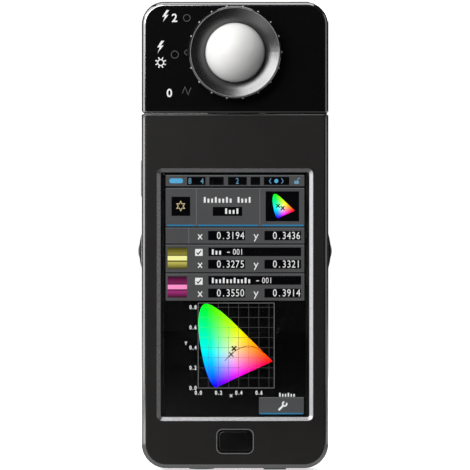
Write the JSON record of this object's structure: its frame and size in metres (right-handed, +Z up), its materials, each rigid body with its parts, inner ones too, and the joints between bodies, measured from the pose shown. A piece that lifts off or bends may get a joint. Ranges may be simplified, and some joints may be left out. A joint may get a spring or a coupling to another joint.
{
  "type": "spectrometer",
  "caption": "Hand-held light and colour meter with a swivelling head, a white dome in a turning selection ring, a touch display and press keys.",
  "frame": {"origin": "middle of the foot on which the meter stands, below the middle of its overall box", "axes": "+Z up along the length, +X to the right seen from the front, the display and dome face -Y"},
  "size_m": [0.0762, 0.04, 0.183],
  "materials": {
    "body_shell": "fine satin moulded black",
    "head_shell": "smooth black",
    "bezel_metal": "dark anodised bevel",
    "touch_glass": "clear cover glass",
    "display": "lit display face",
    "foam": "closed-cell foam",
    "circuit_board": "green solder mask",
    "switch_body": "moulded switch body",
    "key_gloss": "polished key top",
    "key_rubber": "soft key",
    "screw_steel": "blackened steel",
    "cell_jacket": "plain printed sleeve",
    "contact_metal": "nickel-plated spring steel",
    "bush_brass": "turned brass",
    "socket_metal": "plated socket shell",
    "cap_rubber": "soft socket cap",
    "washer_plastic": "low-friction washer",
    "hub_metal": "turned aluminium",
    "ring_black": "black ring with smooth conical mouth",
    "dome_white": "white diffusing dome",
    "inner_black": "black optical parts",
    "clear_optic": "clear optical parts",
    "grating_mirror": "ruled mirror coating",
    "sensor_ceramic": "ceramic package",
    "cable_jacket": "cable sheath"
  },
  "bodies": {
    "body": {"front_casing": "body_shell", "rear_casing": "body_shell", "window_bezel": "bezel_metal", "touch_panel": "touch_glass", "display_gasket": "foam", "display_module": "display", "main_board": "circuit_board", "button_switches": "switch_body", "board_screws": "screw_steel", "body_screws": "screw_steel", "battery_cells": "cell_jacket", "battery_contacts": "contact_metal", "tripod_bush": "bush_brass", "synchro_terminal": "socket_metal", "usb_socket": "socket_metal", "swivel_washer": "washer_plastic", "swivel_spring": "contact_metal"},
    "menu_key": {"menu_button": "key_gloss"},
    "left_key": {"measuring_button_left": "key_rubber"},
    "right_key": {"measuring_button_right": "key_rubber"},
    "power_key": {"power_button": "key_rubber"},
    "memory_key": {"memory_button": "key_rubber"},
    "cover": {"battery_cover": "body_shell"},
    "synchro_plug": {"synchro_cap": "cap_rubber"},
    "usb_plug": {"usb_cap": "cap_rubber"},
    "head": {"head_front_casing": "head_shell", "head_rear_casing": "head_shell", "head_screws": "screw_steel", "swivel_hub": "hub_metal", "swivel_clip": "contact_metal", "optical_bench": "inner_black", "optical_cover": "inner_black", "optical_screws": "screw_steel", "sensor_board": "circuit_board", "light_guide": "clear_optic", "entrance_slit": "inner_black", "fold_mirror": "clear_optic", "diffraction_grating": "grating_mirror", "line_sensor": "sensor_ceramic", "click_leaf": "contact_metal", "leaf_screw": "screw_steel", "head_cable": "cable_jacket"},
    "dial": {"selection_ring": "ring_black", "dome": "dome_white", "dome_retainer": "inner_black", "shutter_disc": "inner_black", "ring_clip": "contact_metal"}
  },
  "joints": [
    {"name": "head_swivel", "type": "hinge", "parent": "body", "child": "head", "pos_m": [0, 0.0065, 0.1394], "axis": [0, 0, 1], "range_deg": [-90, 180]},
    {"name": "dial_turn", "type": "hinge", "parent": "head", "child": "dial", "pos_m": [0, -0.0095, 0.16305], "axis": [0, 1, 0], "range_deg": [-38, 38]},
    {"name": "menu_press", "type": "slide", "parent": "body", "child": "menu_key", "axis": [0, 1, 0], "range_m": [0, 0.0005], "stiffness_N_per_m": 2000},
    {"name": "left_measure_press", "type": "slide", "parent": "body", "child": "left_key", "axis": [1, 0, 0], "range_m": [0, 0.0005], "stiffness_N_per_m": 2000},
    {"name": "right_measure_press", "type": "slide", "parent": "body", "child": "right_key", "axis": [-1, 0, 0], "range_m": [0, 0.0005], "stiffness_N_per_m": 2000},
    {"name": "power_press", "type": "slide", "parent": "body", "child": "power_key", "axis": [-1, 0, 0], "range_m": [0, 0.0005], "stiffness_N_per_m": 2000},
    {"name": "memory_press", "type": "slide", "parent": "body", "child": "memory_key", "axis": [1, 0, 0], "range_m": [0, 0.0005], "stiffness_N_per_m": 2000},
    {"name": "cover_slide", "type": "slide", "parent": "body", "child": "cover", "axis": [0, 0, -1], "range_m": [0, 0.073]},
    {"name": "synchro_cap_pull", "type": "slide", "parent": "body", "child": "synchro_plug", "axis": [0, 0, -1], "range_m": [0, 0.006]},
    {"name": "usb_cap_pull", "type": "slide", "parent": "body", "child": "usb_plug", "axis": [0, 0, -1], "range_m": [0, 0.006]}
  ]
}
